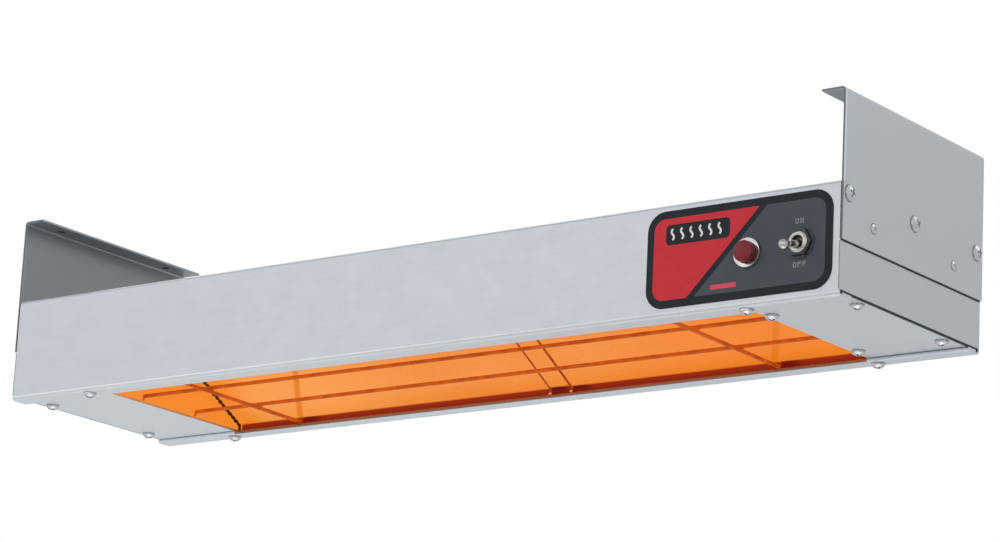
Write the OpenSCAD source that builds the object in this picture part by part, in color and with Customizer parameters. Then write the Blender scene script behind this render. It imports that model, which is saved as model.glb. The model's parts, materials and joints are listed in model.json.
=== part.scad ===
// Strip heat lamp warmer: a sheet-metal channel hung under a shelf by two end brackets, with a
// metal-sheathed infrared element under a folded reflector, a wire guard, a pilot light and a switch.
// +X runs along the warmer, +Y to its rear and +Z up. The origin is the centre of the four shelf
// holes, on the top face of the brackets. Inside the modules, Y = 0 is the front face and Z = 0 is
// the lowest sheet face; in_row_frame() moves each piece to the part's origin.

/* [Body] */
// Length of the housing over its end caps
body_l = 609.6; // [560:0.1:640]
// Depth of the housing, front face to rear face
body_d = 150.5; // [148:0.1:156]
// Height of the housing
body_h = 64.5; // [62:0.1:70]
// Thickness of the housing, cap, bracket and plate sheet
sheet = 1.2; // [1:0.1:1.3]
// Outside radius of the sheet bends
bend_r = 2.4; // [2.2:0.1:3]

/* [Mouth] */
// Half the length of the heated mouth
mouth_x = 239; // [200:0.5:240]
// Width of the front lower flange
front_flange = 13.5; // [9.5:0.1:16]
// Width of the rear lower flange
rear_flange = 12.8; // [11:0.1:24]

/* [Brackets] */
// Height from the lowest sheet face to the top of the brackets
overall_h = 117; // [100:0.5:160]
// Height of the lower edge of the bracket web
bracket_z = 31.4; // [24:0.1:36]
// Width of the shelf flange
shelf_flange = 15.3; // [14:0.1:30]
// Half the front-to-rear spacing of the shelf holes
shelf_hole_y = 50; // [30:1:60]
// Radius of the shelf holes
shelf_hole_r = 2.3; // [2:0.1:3.5]

/* [Reflector and element] */
// Height of the flat top of the reflector
reflector_z = 36; // [34:0.1:37]
// Thickness of the reflector sheet
reflector_t = 0.8; // [0.5:0.1:0.9]
// Radius of the element's metal sheath
sheath_r = 4.2; // [3.8:0.1:4.2]
// Height of the element
element_z = 26.5; // [25:0.1:27]
// Middle of the hanger strap along the warmer
strap_x = 19; // [-60:1:60]
// Width of the hanger strap
strap_w = 15.5; // [10:0.5:20]

/* [Guard] */
// Diameter of the guard wire
guard_d = 2.4; // [2:0.1:3.4]
// Distance of each long wire from the middle of the mouth
guard_y = 24.6; // [18:0.1:28]
// Distance of each cross wire from the middle of the warmer
guard_x = 181.5; // [120:0.5:200]
// How far to the left the rear ends of the cross wires stand
guard_lean = 6; // [0:0.5:12]

/* [Controls] */
// Middle of the pilot light along the warmer
pilot_x = 246.4; // [245.4:0.1:250]
// Height of the pilot light
pilot_z = 30.1; // [28:0.1:36]
// Middle of the switch along the warmer
switch_x = 279.6; // [276:0.1:280]
// Height of the switch
switch_z = 31.9; // [30:0.1:34]
// Angle of the lever below level when the switch is off
lever_off = 15; // [12:0.5:15]

/* [Hidden] */
$fn = 48;

eps = 0.01;
over = 1;                    // how far a cutter runs past the face that it cuts
half_l = body_l / 2;
mid_y = body_d / 2;
hem_z = 2 * sheet;           // top of the folded lower flanges
plate_z = hem_z + sheet;     // top of the bottom plates, and lower edge of the end caps
cap_in = half_l - sheet;     // inner face of the end caps
cap_flange = 12;             // how far the caps' flanges reach in
gap = 0.1;                   // assembly gap between neighbouring sheets

// Fasteners: shank radius, head radius, head height
screw_r = 2.05;
screw_hole_r = 2.1;
bracket_head = [4.7, 2.6];
plate_head = [4.0, 3.1];
ground_head = [4.0, 2.2];
screw_y = [6.5, mid_y, body_d - 6.5];
screw_z = body_h - 6.5;
rivet_dy = 43.2;
rivet_z = 44.5;
rivet_r = 1.6;
rivet_hole_r = 1.65;
plate_screw_dy = 45.4;
plate_screw_out_x = half_l - 6.8;
plate_screw_in_x = mouth_x + 4.5;
flange_screw_x = mouth_x + 4;
flange_screw_y = [5.5, body_d - 7];
plate_screw_l = 8;
bracket_screw_l = 8;
clinch_l = 3;                // length of the clinch nuts
clinch_r = 3.9;

// Reflector: a skirt at each side, a 30 degree slope and a flat top
skirt_y = 7;
skirt_z = hem_z + 4.8;
reflector_a = 29.84;
reflector_end = mouth_x - 0.2;
top_y = skirt_y + (reflector_z - skirt_z) / tan(reflector_a);

// Guard: the long wires hang level with the tops of the skirts, the cross wires under them
guard_r = guard_d / 2;
joggle_l = 5;                // length of the joggles in the long wires
joggle_steps = 8;
long_z = skirt_z;
cross_z = long_z - guard_d;
leg_z = plate_z + guard_r;
leg_end = mouth_x + 9;
guard_lean_a = atan(guard_lean / (body_d - 2 * skirt_y));

// Element, its ceramic bushings and its hanger
bushing_r = 6.1;
bushing_l = 6.5;
bushing_x = mouth_x - 1.5;   // where each bushing starts, inside the mouth
sheath_end = mouth_x + 23;
sheath_wall = 0.9;
stud_r = 1.5;
stud_in = 19;                // how deep each terminal stud sits in the core
stud_end = sheath_end + 14;
end_wall_top = 38.4;
strap_t = 0.9;
strap_gap = 0.1;             // between the strap and the reflector
strap_rivet_y = mid_y + 14;
strap_face_z = reflector_z - strap_gap - strap_t;

// Control overlay and pilot light
label_x = [179.5, 300.2];
label_z = [4.9, 60.6];
label_r = 11.5;
label_t = 0.4;
pilot_body_r = 3.9;
pilot_hole_r = pilot_body_r + 0.1;
pilot_front = -label_t - 0.6;  // front end of the body, inside the bezel
bezel_h = 1.9;
lens_r = 6;
lamp_y = 3.6;
tail_dz = 1.8;               // spacing of the lamp's tails about its middle

// Switch: distances along Y are behind the front face
bushing_hole_r = 6.05;
thread_r = 5.95;
nut_af = 14.3;
nut_bore_r = 6;
pivot_y = 1;
lever_bore_r = 0.85;
rocker_y = 13;
rocker_bore_r = 1.05;
rocker_tilt = 0.8 * lever_off;
switch_size = [17.5, 18, 28];
switch_back = 4.3;
switch_wall = 1.6;
switch_plate = 1;            // thickness of the front plate on the switch body
contact_z = [0, -9];         // the common and the fixed contact, below the switch's axis
contact_r = 1.5;
blade_y = 23;                // front end of the contacts' blades
blade_l = 8;

// Supply side
cord_x = 272;
cord_z = 40;
cord_hole_r = 8;
cord_in = 10;                // how far the cord bushing reaches in
cord_flange = 3.2;
block_x = mouth_x + sheet;
block_y = 122;
block_z = 28;
block_size = [13, 26, 14];
pole_x = block_x + 6;        // the two poles, side by side along Y
pole_dy = 8;
block_screw_r = 1.55;
block_head = [2.9, 1.6];
ground_pos = [mouth_x, 38, 33.5];
ground_screw_l = 8;
ground_nut_h = 3;
lead_r = 1.1;
lead_clear = lead_r + 0.1;
lead_gap = 0.6;              // between a lead's end and the face that it meets
high_z = 51;                 // height of the long lead over the reflector
sweep_ref = [0.31, 0.17, 0.94];  // a direction that no wire or lead runs along

steel = [0.72, 0.75, 0.78];
bright = [0.86, 0.87, 0.88];
dark = [0.12, 0.13, 0.15];
glow = [0.95, 0.52, 0.2];
brass_c = [0.8, 0.63, 0.3];

// ---- helpers ---------------------------------------------------------------------------------

module in_row_frame() {
    translate([0, -mid_y, -overall_h]) children();
}

// Places a piece made for the right-hand end, or its mirror image at the left-hand end
module at_end(side) {
    if (side < 0) mirror([1, 0, 0]) children();
    else children();
}

// Extrudes a (y, z) outline along X from x0 to x1
module along_x(x0, x1) {
    translate([x0, 0, 0]) rotate([90, 0, 90]) linear_extrude(x1 - x0) children();
}

// Extrudes an (x, z) outline along Y from y0 to y1
module along_y(y0, y1) {
    translate([0, y1, 0]) rotate([90, 0, 0]) linear_extrude(y1 - y0) children();
}

// A cylinder along +X, and one along +Y
module rod_x(r, l) { rotate([0, 90, 0]) cylinder(r = r, h = l); }
module rod_y(r, l) { rotate([-90, 0, 0]) cylinder(r = r, h = l); }

module round_rect(w, h, r) {
    translate([r, 0]) square([w - 2 * r, h]);
    translate([0, r]) square([w, h - 2 * r]);
    for (x = [r, w - r], y = [r, h - r])
        translate([x, y]) circle(r = r);
}

// Outline of an angle with its outer corner at the origin and a rounded bend
module angle_2d(leg_x, leg_y, t, r) {
    translate([r, 0]) square([leg_x - r, t]);
    translate([0, r]) square([t, leg_y - r]);
    translate([r, r]) intersection() {
        difference() {
            circle(r = r);
            circle(r = r - t);
        }
        translate([-r, -r]) square(r);
    }
}

module hex_2d(across_flats) {
    circle(r = across_flats / sqrt(3), $fn = 6);
}

// A nut along +Z
module nut(across_flats, bore_r, h) {
    difference() {
        linear_extrude(h) hex_2d(across_flats);
        translate([0, 0, -over]) cylinder(r = bore_r, h = h + 2 * over);
    }
}

module tube(r_out, r_in, h) {
    difference() {
        cylinder(r = r_out, h = h);
        translate([0, 0, -over]) cylinder(r = r_in, h = h + 2 * over);
    }
}

// A pan head screw: the shank runs up from Z = 0, the crossed head hangs below it
module pan_screw(r, l, head) {
    head_r = head[0];
    head_h = head[1];
    crown = 0.62 * head_h;
    crown_r = (head_r * head_r + crown * crown) / (2 * crown);
    slot_w = 0.24 * head_r;
    slot_l = 1.15 * head_r;
    slot_d = 0.55 * head_h;
    difference() {
        intersection() {
            translate([0, 0, -head_h]) cylinder(r = head_r, h = head_h);
            translate([0, 0, crown_r - head_h]) sphere(r = crown_r);
        }
        for (a = [0, 90])
            rotate(a) translate([-slot_l / 2, -slot_w / 2, -head_h - over])
                cube([slot_l, slot_w, slot_d + over]);
    }
    translate([0, 0, -eps]) cylinder(r = r, h = l - r + eps);
    translate([0, 0, l - r]) cylinder(r1 = r, r2 = 0.55 * r, h = r);
}

// A dome-headed blind rivet: its shank runs up from Z = 0 through a grip, then swells
module blind_rivet(grip) {
    head_r = 3.1;
    head_h = 1.1;
    dome_r = (head_r * head_r + head_h * head_h) / (2 * head_h);
    swell_r = 2.3;
    swell_l = 3.4;
    mandrel_r = 0.9;
    mandrel_d = 0.8;
    difference() {
        union() {
            intersection() {
                translate([0, 0, -head_h]) cylinder(r = head_r, h = head_h);
                translate([0, 0, dome_r - head_h]) sphere(r = dome_r);
            }
            translate([0, 0, -eps]) cylinder(r = rivet_r, h = grip + 2 * eps);
            translate([0, 0, grip + eps]) cylinder(r = swell_r, h = swell_l);
        }
        translate([0, 0, -head_h - over]) cylinder(r = mandrel_r, h = over + mandrel_d);
    }
}

function unit(v) = v / norm(v);

// Cuts each corner of a route twice, so that a lead bends smoothly
function soften(p) = [
    p[0],
    for (i = [0 : len(p) - 2])
        each [0.75 * p[i] + 0.25 * p[i + 1], 0.25 * p[i] + 0.75 * p[i + 1]],
    p[len(p) - 1]
];

function heading(p, i) = unit(p[min(i + 1, len(p) - 1)] - p[max(i - 1, 0)]);

function ring(p, i, r, n) =
    let (t = heading(p, i), u = unit(cross(t, sweep_ref)), v = cross(t, u))
    [for (k = [0 : n - 1]) p[i] + r * (cos(360 * k / n) * u + sin(360 * k / n) * v)];

// A round wire or lead of radius r and n sides, swept along the points p
module sweep(p, r, n) {
    m = len(p);
    polyhedron(
        points = [for (i = [0 : m - 1]) each ring(p, i, r, n)],
        faces = [
            [for (k = [0 : n - 1]) k],
            [for (k = [n - 1 : -1 : 0]) (m - 1) * n + k],
            for (i = [0 : m - 2], k = [0 : n - 1])
                each [
                    [i * n + k, (i + 1) * n + k, i * n + (k + 1) % n],
                    [i * n + (k + 1) % n, (i + 1) * n + k, (i + 1) * n + (k + 1) % n]
                ]
        ]
    );
}

module lead(route) {
    sweep(soften(soften(route)), lead_r, 8);
}

// ---- sheet metal -----------------------------------------------------------------------------

// Channel closed at the top, with folded-over lower flanges either side of the mouth
module housing_2d() {
    rear_in = body_d - rear_flange;
    difference() {
        round_rect(body_d, body_h, bend_r);
        translate([sheet, sheet])
            round_rect(body_d - 2 * sheet, body_h - 2 * sheet, bend_r - sheet);
        translate([front_flange - sheet, -over])
            square([rear_in - front_flange + 2 * sheet, sheet + 2 * over]);
    }
    translate([bend_r + sheet, 0]) square([front_flange - bend_r - 2 * sheet, hem_z]);
    translate([front_flange - sheet, sheet]) circle(r = sheet);
    translate([rear_in + sheet, 0]) square([rear_flange - 5, hem_z]);
    translate([rear_in + sheet, sheet]) circle(r = sheet);
}

module housing() {
    color(steel) in_row_frame() difference() {
        along_x(-half_l, half_l) housing_2d();
        for (side = [-1, 1]) at_end(side) {
            translate([cap_in, -over, plate_z])
                cube([sheet + over, body_d + 2 * over, body_h]);
            for (y = flange_screw_y)
                translate([flange_screw_x, y, -over]) cylinder(r = screw_hole_r, h = hem_z + 2 * over);
        }
        at_pilot(-over) rod_y(pilot_hole_r, sheet + 2 * over);
        at_switch(-over) rod_y(bushing_hole_r, sheet + 2 * over);
        at_cord(-sheet - over) rod_y(cord_hole_r, sheet + 2 * over);
    }
}

// Outline of the end cap's outer plate
module cap_plate_2d() {
    difference() {
        round_rect(body_d, body_h, bend_r);
        translate([-over, -over]) square([body_d + 2 * over, plate_z + over]);
    }
}

module end_cap(side) {
    notch = 3;
    color(steel) in_row_frame() at_end(side) difference() {
        union() {
            along_x(cap_in, half_l) cap_plate_2d();
            along_x(cap_in - cap_flange, cap_in) difference() {
                translate([sheet, plate_z])
                    square([body_d - 2 * sheet, body_h - sheet - plate_z]);
                translate([2 * sheet, plate_z + sheet])
                    square([body_d - 4 * sheet, body_h - 3 * sheet - plate_z]);
            }
        }
        // Corner notches that leave four separate flanges
        for (y = [sheet, body_d - sheet], z = [plate_z, body_h - sheet])
            translate([cap_in - cap_flange - over, y - notch, z - notch])
                cube([cap_flange + over - eps, 2 * notch, 2 * notch]);
        for (y = screw_y)
            translate([cap_in - over, y, screw_z]) rod_x(screw_hole_r, sheet + 2 * over);
        for (s = [-1, 1]) {
            translate([cap_in - over, mid_y + s * rivet_dy, rivet_z])
                rod_x(rivet_hole_r, sheet + 2 * over);
            translate([plate_screw_out_x, mid_y + s * plate_screw_dy, plate_z - over])
                cylinder(r = screw_hole_r, h = sheet + 2 * over);
        }
    }
}

module end_cap_left() { end_cap(-1); }
module end_cap_right() { end_cap(1); }

// Angle bracket: web outside the cap, flange turned in under the shelf
module bracket(side) {
    outer_x = half_l + sheet;
    hole_x = outer_x - shelf_flange / 2;
    color(steel) in_row_frame() at_end(side) difference() {
        along_y(0, body_d) translate([outer_x, overall_h]) rotate(180)
            angle_2d(shelf_flange, overall_h - bracket_z, sheet, bend_r);
        for (y = screw_y)
            translate([half_l - over, y, screw_z]) rod_x(screw_hole_r, sheet + 2 * over);
        for (s = [-1, 1]) {
            translate([half_l - over, mid_y + s * rivet_dy, rivet_z])
                rod_x(rivet_hole_r, sheet + 2 * over);
            translate([hole_x, mid_y + s * shelf_hole_y, overall_h - sheet - over])
                cylinder(r = shelf_hole_r, h = sheet + 2 * over);
        }
    }
}

module bracket_left() { bracket(-1); }
module bracket_right() { bracket(1); }

// Each screw has stopped at its own angle
module bracket_screws() {
    color(bright) in_row_frame()
        for (side = [-1, 1], i = [0 : 2]) at_end(side)
            translate([half_l + sheet, screw_y[i], screw_z]) rotate([0, -90, 0])
                rotate(20 + 35 * i) pan_screw(screw_r, bracket_screw_l, bracket_head);
}

module clinch_nuts() {
    color(steel) in_row_frame()
        for (side = [-1, 1], y = screw_y) at_end(side)
            translate([cap_in - clinch_l, y, screw_z]) rotate([0, 90, 0])
                tube(clinch_r, screw_hole_r, clinch_l);
}

module bracket_rivets() {
    color(bright) in_row_frame()
        for (side = [-1, 1], s = [-1, 1]) at_end(side)
            translate([half_l + sheet, mid_y + s * rivet_dy, rivet_z]) rotate([0, -90, 0])
                blind_rivet(2 * sheet);
}

// Bottom plate over one end compartment
module bottom_plate(side) {
    y0 = sheet + gap;
    color(steel) in_row_frame() at_end(side) difference() {
        translate([mouth_x, y0, hem_z]) cube([cap_in - gap - mouth_x, body_d - 2 * y0, sheet]);
        for (s = [-1, 1]) {
            translate([plate_screw_out_x, mid_y + s * plate_screw_dy, hem_z - over])
                cylinder(r = screw_hole_r, h = sheet + 2 * over);
            if (side > 0) translate([plate_screw_in_x, mid_y + s * plate_screw_dy, hem_z - over])
                cylinder(r = screw_hole_r, h = sheet + 2 * over);
        }
        for (y = flange_screw_y)
            translate([flange_screw_x, y, hem_z - over]) cylinder(r = screw_hole_r, h = sheet + 2 * over);
    }
}

module bottom_plate_left() { bottom_plate(-1); }
module bottom_plate_right() { bottom_plate(1); }

module plate_screws() {
    color(bright) in_row_frame() for (s = [-1, 1]) {
        for (side = [-1, 1]) at_end(side)
            translate([plate_screw_out_x, mid_y + s * plate_screw_dy, hem_z])
                rotate(25 * side + 30 * s) pan_screw(screw_r, plate_screw_l, plate_head);
        translate([plate_screw_in_x, mid_y + s * plate_screw_dy, hem_z])
            rotate(15 * s) pan_screw(screw_r, plate_screw_l, plate_head);
    }
}

module flange_screws() {
    color(bright) in_row_frame()
        for (side = [-1, 1], y = flange_screw_y) at_end(side)
            translate([flange_screw_x, y, 0]) rotate(y) pan_screw(screw_r, plate_screw_l + hem_z, plate_head);
}

// ---- reflector -------------------------------------------------------------------------------

// Half of an offset of the reflector's inner outline, from the skirt to the flat top
function reflector_half(off, foot_z) = let (
    c = off * tan((90 - reflector_a) / 2),
    d = off * tan(reflector_a / 2)
) [
    [skirt_y - off, foot_z],
    [skirt_y - off, skirt_z + c],
    [top_y - d, reflector_z + off]
];

function mirrored(p) = [for (i = [len(p) - 1 : -1 : 0]) [body_d - p[i][0], p[i][1]]];

function reversed(p) = [for (i = [len(p) - 1 : -1 : 0]) p[i]];

module reflector() {
    outer = reflector_half(reflector_t, hem_z);
    inner = reflector_half(0, hem_z);
    color(glow) in_row_frame() difference() {
        along_x(-reflector_end, reflector_end)
            polygon(concat(outer, mirrored(outer), reversed(concat(inner, mirrored(inner)))));
        at_strap_rivet(reflector_z - over) cylinder(r = rivet_hole_r, h = 2 * over);
    }
}

// End wall of the reflector, with a foot on the bottom plate and a hole for the element
module reflector_end_wall(side) {
    y0 = sheet + 2 * gap;
    foot = 13;
    color(steel) in_row_frame() at_end(side) difference() {
        along_y(y0, body_d - y0) translate([mouth_x, plate_z])
            angle_2d(foot, end_wall_top - plate_z, sheet, bend_r);
        translate([mouth_x - over, mid_y, element_z]) rod_x(bushing_r + gap, sheet + 2 * over);
        // Slots for the ends of the guard's long wires
        for (s = [-1, 1]) translate([mouth_x - over, mid_y + s * guard_y, leg_z]) {
            rod_x(guard_r + gap, leg_end - mouth_x + 2 * over);
            translate([0, 0, long_z - leg_z]) rod_x(guard_r + gap, joggle_l);
            translate([0, -guard_r - gap, 0]) cube([joggle_l, 2 * (guard_r + gap), long_z - leg_z]);
        }
        for (y = flange_screw_y)
            translate([flange_screw_x, y, plate_z - over]) cylinder(r = screw_hole_r, h = sheet + 2 * over);
        if (side > 0) {
            for (s = [-1, 1]) translate([plate_screw_in_x, mid_y + s * plate_screw_dy, plate_z - over])
                cylinder(r = screw_hole_r, h = sheet + 2 * over);
            translate(ground_pos - [over, 0, 0]) rod_x(screw_hole_r, sheet + 2 * over);
            translate([mouth_x - over, block_y, block_z]) rod_x(rivet_hole_r, sheet + 2 * over);
        }
    }
}

module reflector_end_left() { reflector_end_wall(-1); }
module reflector_end_right() { reflector_end_wall(1); }

// ---- element ---------------------------------------------------------------------------------

module element_axis(x) {
    translate([x, mid_y, element_z]) children();
}

module element_sheath() {
    color([0.95, 0.45, 0.15]) in_row_frame() element_axis(-sheath_end)
        rotate([0, 90, 0]) tube(sheath_r, sheath_r - sheath_wall, 2 * sheath_end);
}

// Packed mineral core, drilled at each end for the terminal studs
module element_core() {
    core_r = sheath_r - sheath_wall - 0.05;
    color("white") in_row_frame() difference() {
        element_axis(-sheath_end) rod_x(core_r, 2 * sheath_end);
        for (side = [-1, 1]) at_end(side)
            element_axis(sheath_end - stud_in - 1) rod_x(stud_r + 0.05, stud_in + 1 + over);
    }
}

module element_terminals() {
    color(brass_c) in_row_frame()
        for (side = [-1, 1]) at_end(side)
            element_axis(sheath_end - stud_in) rod_x(stud_r, stud_end - sheath_end + stud_in);
}

// Flanged ceramic bushing in each end wall
module element_bushings() {
    flange_r = 9;
    flange_t = 3;
    color([0.93, 0.91, 0.86]) in_row_frame()
        for (side = [-1, 1]) at_end(side) difference() {
            union() {
                element_axis(bushing_x) rod_x(bushing_r, bushing_l);
                element_axis(mouth_x + sheet) rod_x(flange_r, flange_t);
            }
            element_axis(bushing_x - over) rod_x(sheath_r + 0.05, bushing_l + 2 * over);
        }
}

// Two nuts on each stud, with the lead's end between them
module terminal_nuts() {
    stud_nut_af = 6;
    stud_nut_h = 2.4;
    color(brass_c) in_row_frame()
        for (side = [-1, 1], x = [3, 7]) at_end(side)
            element_axis(sheath_end + x) rotate([0, 90, 0]) nut(stud_nut_af, stud_r + 0.05, stud_nut_h);
}

module at_strap_rivet(z) {
    translate([strap_x, strap_rivet_y, z]) children();
}

// Hanger: a strap on the flat top and the rear slope, with an eye round the element
module hanger_strap() {
    eye_r = sheath_r + 0.25;
    foot_z = hem_z + 0.8;
    end_y = mid_y - 7;
    far = mirrored(reflector_half(-strap_gap, foot_z));
    near = mirrored(reflector_half(-strap_gap - strap_t, foot_z));
    drop_z = element_z + eye_r + strap_t / 2;
    color(glow) in_row_frame() difference() {
        union() {
            along_x(strap_x - strap_w / 2, strap_x + strap_w / 2)
                polygon(concat([[end_y, far[0][1]]], far, reversed(near), [[end_y, near[0][1]]]));
            along_x(strap_x - strap_w / 2, strap_x + strap_w / 2)
                translate([mid_y - strap_t / 2, drop_z])
                    square([strap_t, strap_face_z + strap_t / 2 - drop_z]);
            translate([strap_x - strap_w / 2, mid_y, element_z])
                rotate([0, 90, 0]) tube(eye_r + strap_t, eye_r, strap_w);
        }
        at_strap_rivet(strap_face_z - over) cylinder(r = rivet_hole_r, h = strap_t + 2 * over);
    }
}

module strap_rivet() {
    head_r = 2.8;
    head_h = 0.8;
    tail_r = 2.3;
    tail_h = 2;
    grip = strap_t + strap_gap + reflector_t;
    color(bright) in_row_frame() {
        at_strap_rivet(strap_face_z - head_h) cylinder(r = head_r, h = head_h);
        at_strap_rivet(strap_face_z) cylinder(r = rivet_r - 0.1, h = grip + eps);
        at_strap_rivet(strap_face_z + grip) cylinder(r = tail_r, h = tail_h);
    }
}

// ---- guard -----------------------------------------------------------------------------------

// Right-hand half of a long wire: straight, then an S-shaped joggle down onto the bottom plate,
// which starts just inside the end wall and goes through its slot
function long_wire_half() = let (start = mouth_x - 1, drop = long_z - leg_z) concat(
    [for (i = [0 : joggle_steps])
        [start + joggle_l * i / joggle_steps, 0, long_z - drop * (1 - cos(180 * i / joggle_steps)) / 2]],
    [[leg_end, 0, leg_z]]
);

module guard_long_wires() {
    half = long_wire_half();
    other = [for (q = reversed(half)) [-q[0], 0, q[2]]];
    color(steel) in_row_frame() for (s = [-1, 1]) translate([0, mid_y + s * guard_y, 0])
        sweep(concat(other, half), guard_r, 16);
}

module guard_cross_wires() {
    color(steel) in_row_frame() for (side = [-1, 1]) at_end(side)
        translate([guard_x, skirt_y + gap, cross_z])
            rotate(side * guard_lean_a) rod_y(guard_r, body_d - 2 * skirt_y - 2 * gap);
}

// ---- controls --------------------------------------------------------------------------------

module at_pilot(y) {
    translate([pilot_x, y, pilot_z]) children();
}

module at_switch(y) {
    translate([switch_x, y, switch_z]) children();
}

module control_label() {
    color(dark) in_row_frame() difference() {
        along_y(-label_t, 0) translate([label_x[0], label_z[0]])
            round_rect(label_x[1] - label_x[0], label_z[1] - label_z[0], label_r);
        at_pilot(-label_t - over) rod_y(pilot_hole_r, label_t + 2 * over);
        at_switch(-label_t - over) rod_y(bushing_hole_r, label_t + 2 * over);
    }
}

// Cup-shaped bezel, open to the front for the lens
module pilot_bezel() {
    bezel_r = 8.4;
    cup_d = 1.3;
    color(bright) in_row_frame() difference() {
        at_pilot(-label_t - bezel_h) rod_y(bezel_r, bezel_h);
        at_pilot(-label_t - bezel_h - over) rod_y(lens_r + 0.1, cup_d + over);
        at_pilot(-label_t - bezel_h) rod_y(pilot_body_r + 0.05, bezel_h + over);
    }
}

module pilot_lens() {
    crown = 1;
    crown_r = (lens_r * lens_r + crown * crown) / (2 * crown);
    back = -label_t - 0.65;
    front = -label_t - 6.6;
    color([0.6, 0.05, 0.1]) in_row_frame() intersection() {
        at_pilot(front) rod_y(lens_r, back - front);
        at_pilot(front + crown_r) sphere(r = crown_r);
    }
}

module pilot_body() {
    pilot_l = 26;
    wall = 0.8;
    back = 2;
    color(dark) in_row_frame() difference() {
        at_pilot(pilot_front) rod_y(pilot_body_r, pilot_l);
        at_pilot(pilot_front - over) rod_y(pilot_body_r - wall, pilot_l - back + over);
        for (s = [-1, 1]) at_pilot(0) translate([0, 0, s * tail_dz]) rod_y(lead_clear, pilot_l + over);
    }
}

module pilot_nut() {
    color(steel) in_row_frame() at_pilot(sheet) rotate([-90, 30, 0]) nut(9.6, pilot_body_r + 0.05, 2.2);
}

module pilot_lamp() {
    lamp_r = 2.6;
    lamp_l = 12;
    color("orange") in_row_frame() at_pilot(lamp_y) {
        rod_y(lamp_r, lamp_l);
        sphere(r = lamp_r);
    }
}

// Turns a piece that is drawn level about a switch pivot
module tilted(y, angle) {
    at_switch(y) rotate([angle, 0, 0]) children();
}

// Box open to the front, with holes for the rocker's pin and for the contacts' shanks
module switch_body() {
    inside = switch_size - [2 * switch_wall, switch_wall - over, 2 * switch_wall];
    color(dark) in_row_frame() difference() {
        at_switch(switch_back) translate([-switch_size[0] / 2, 0, -switch_size[2] / 2])
            cube(switch_size);
        at_switch(switch_back) translate([-inside[0] / 2, -over, -inside[2] / 2]) cube(inside);
        at_switch(rocker_y) translate([-switch_size[0], 0, 0])
            rod_x(rocker_bore_r, 2 * switch_size[0]);
        for (z = contact_z) at_switch(switch_back + switch_size[1] - 2 * switch_wall)
            translate([0, 0, z]) rod_y(contact_r + 0.05, 3 * switch_wall);
    }
}

// Threaded bushing on the switch's front plate, with cross holes for the lever's pin
module switch_bushing() {
    mouth_y = -3.4;
    chamfer = 0.5;
    bore_r = 3.8;
    plate_y = switch_back - switch_plate;
    color(bright) in_row_frame() difference() {
        union() {
            at_switch(mouth_y + chamfer) rod_y(thread_r, plate_y - mouth_y - chamfer + eps);
            at_switch(mouth_y) rotate([-90, 0, 0])
                cylinder(r1 = thread_r - chamfer, r2 = thread_r, h = chamfer + eps);
            at_switch(plate_y) translate([-switch_size[0] / 2, 0, -switch_size[2] / 2])
                cube([switch_size[0], switch_plate, switch_size[2]]);
        }
        at_switch(mouth_y - over) rod_y(bore_r, switch_back - mouth_y + 2 * over);
        at_switch(pivot_y) translate([-thread_r - over, 0, 0])
            rod_x(lever_bore_r, 2 * thread_r + 2 * over);
    }
}

module switch_ring() {
    ring_r = 9.2;
    ring_t = 0.6;
    color(dark) in_row_frame() at_switch(-label_t - ring_t) rotate([-90, 0, 0])
        tube(ring_r, bushing_hole_r, ring_t);
}

module switch_front_nut() {
    nut_front = 2.4;
    nut_t = 1.8;
    color(dark) in_row_frame()
        at_switch(-label_t - nut_front) rotate([-90, 0, 0]) nut(nut_af, nut_bore_r, nut_t);
}

module switch_back_nut() {
    color(steel) in_row_frame() at_switch(sheet) rotate([-90, 30, 0]) nut(nut_af, nut_bore_r, 2);
}

// Bat-handle lever: it turns on a pin in the bushing, and its tail works the rocker
module switch_lever() {
    tip = 18;
    tip_r = 3;
    stem_r = [1.75, 2.1];
    hub_r = 3.4;
    tail = 7.5;
    tail_r = [1.3, 1.5];
    color(bright) in_row_frame() tilted(pivot_y, lever_off) difference() {
        union() {
            rotate([90, 0, 0]) cylinder(r1 = stem_r[0], r2 = stem_r[1], h = tip);
            translate([0, -tip, 0]) sphere(r = tip_r);
            sphere(r = hub_r);
            rod_y(tail_r[0], tail);
            translate([0, tail, 0]) sphere(r = tail_r[1]);
        }
        translate([-hub_r - over, 0, 0]) rod_x(lever_bore_r, 2 * hub_r + 2 * over);
    }
}

module lever_pin() {
    pin_l = 11.4;
    color(steel) in_row_frame() at_switch(pivot_y) translate([-pin_l / 2, 0, 0])
        rod_x(lever_bore_r - 0.05, pin_l);
}

// Contact rocker: deep at its upper end when off, at its lower end when on
module switch_rocker() {
    arm = 9.5;
    arm_w = 6;
    arm_t = 1.2;
    hub_r = 2;
    color(brass_c) in_row_frame() tilted(rocker_y, -rocker_tilt) difference() {
        union() {
            translate([-arm_w / 2, -arm_t / 2, -arm]) cube([arm_w, arm_t, 2 * arm]);
            translate([-arm_w / 2, 0, 0]) rod_x(hub_r, arm_w);
        }
        translate([-arm_w / 2 - over, 0, 0]) rod_x(rocker_bore_r, arm_w + 2 * over);
    }
}

module rocker_pin() {
    pin_l = 16.8;
    color(steel) in_row_frame() at_switch(rocker_y) translate([-pin_l / 2, 0, 0])
        rod_x(rocker_bore_r - 0.05, pin_l);
}

// Common contact behind the rocker's hub and fixed contact behind its lower end
module switch_contacts() {
    head = [2, 4];
    head_y = 16.6;
    blade = [6.4, blade_l, 0.8];
    color(brass_c) in_row_frame() for (z = contact_z) {
        at_switch(head_y) translate([0, 0, z]) rod_y(head[0], head[1]);
        at_switch(head_y + head[1] - 0.6) translate([0, 0, z]) rod_y(contact_r, 4);
        at_switch(blade_y) translate([-blade[0] / 2, 0, z - blade[2] / 2]) cube(blade);
    }
}

// ---- supply side -----------------------------------------------------------------------------

module at_cord(y) {
    translate([cord_x, body_d + y, cord_z]) children();
}

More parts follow.
